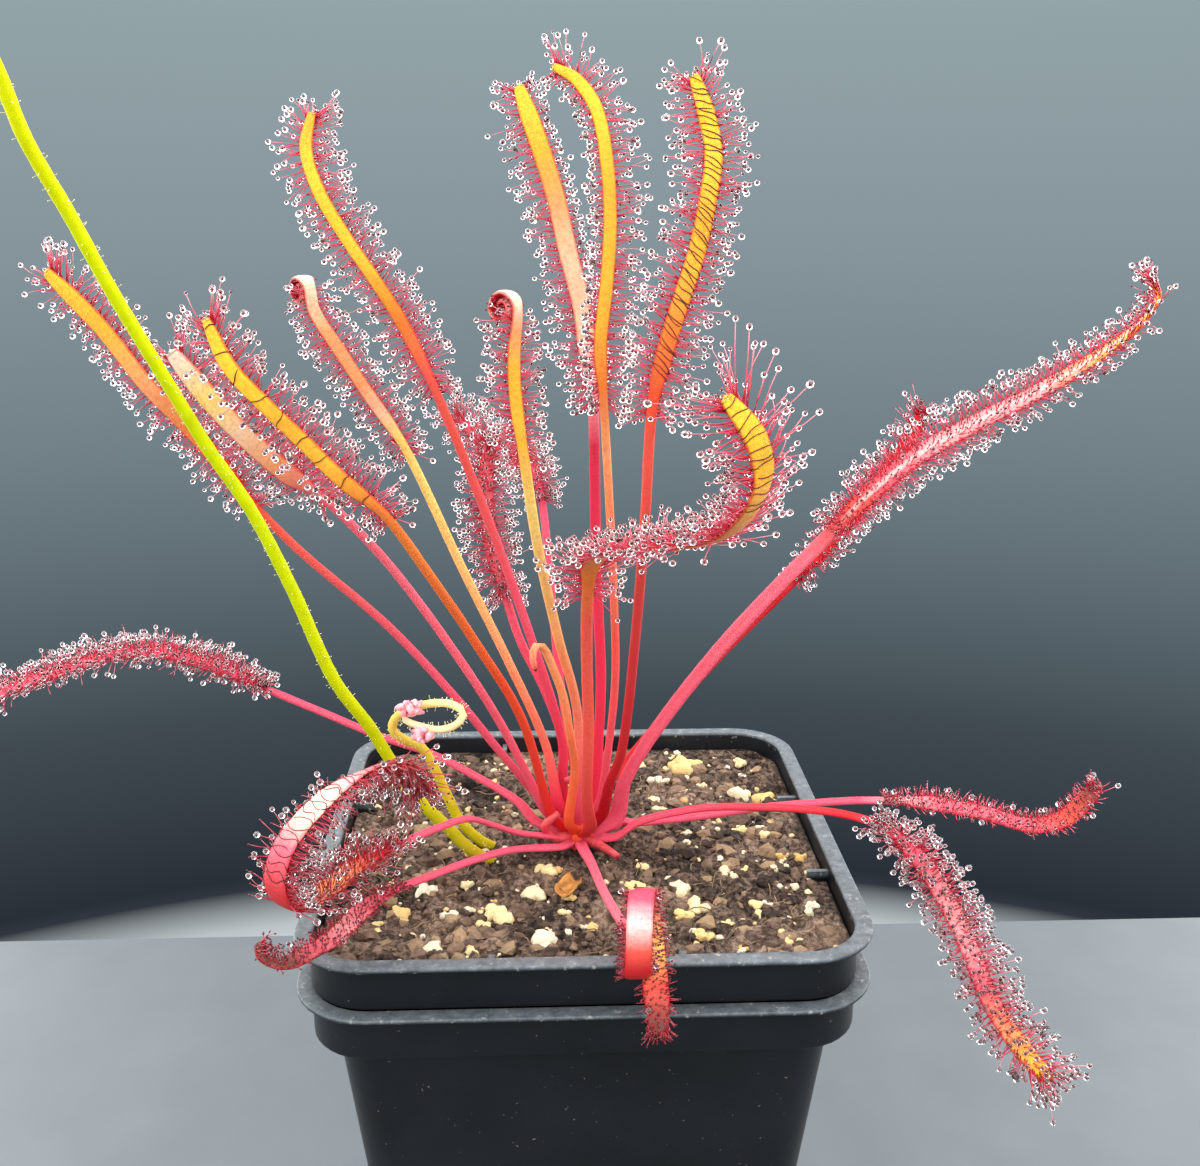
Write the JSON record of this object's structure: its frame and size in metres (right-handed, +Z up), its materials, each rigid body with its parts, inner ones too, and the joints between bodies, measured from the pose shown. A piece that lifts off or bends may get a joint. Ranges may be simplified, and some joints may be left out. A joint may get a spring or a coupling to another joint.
{
  "type": "potted sundew",
  "caption": "Potted sundew: a rosette of long sticky strap leaves and two flower stems, in a square nursery pot nested in another.",
  "frame": {"origin": "middle of the outer pot's flat base, on the surface that it stands on", "axes": "+Z up, +X to the right and +Y away from the front, along the square pot's sides"},
  "size_m": [0.2034, 0.1252, 0.2585],
  "materials": {
    "pot_plastic": "black, lightly scuffed",
    "peat": "damp fibrous peat",
    "perlite": "cream mineral lumps",
    "crown": "red-orange plant tissue",
    "leaf_red": "red leaf, satin",
    "leaf_pink": "pink leaf, satin",
    "leaf_orange": "orange leaf, satin",
    "leaf_yellow": "yellow leaf, satin",
    "stem_green": "yellow-green hairy stem",
    "tentacle": "crimson stalks and glands",
    "dew": "clear sticky drops"
  },
  "bodies": {
    "root": {"pot_outer": "pot_plastic", "pot_inner": "pot_plastic", "soil": "peat", "crown": "crown", "leaf_far_left": "leaf_red", "leaf_left_back": "leaf_pink", "leaf_left_front": "leaf_orange", "leaf_coiled_left": "leaf_yellow", "leaf_high_left": "leaf_red", "leaf_back_left": "leaf_pink", "leaf_back_centre": "leaf_pink", "leaf_coiled_centre": "leaf_yellow", "leaf_young_hook": "leaf_orange", "leaf_loop_left": "leaf_pink", "leaf_loop_right": "leaf_orange", "leaf_front_centre": "leaf_orange", "leaf_high_right": "leaf_red", "leaf_long_right": "leaf_pink", "leaf_back_right": "leaf_pink", "leaf_low_left": "leaf_pink", "leaf_rolled_left": "leaf_red", "leaf_rim_left": "leaf_pink", "leaf_rolled_front": "leaf_red", "leaf_hanging_right": "leaf_pink", "leaf_low_right": "leaf_pink", "flower_stem_tall": "stem_green", "flower_stem_young": "stem_green"}
  },
  "joints": []
}
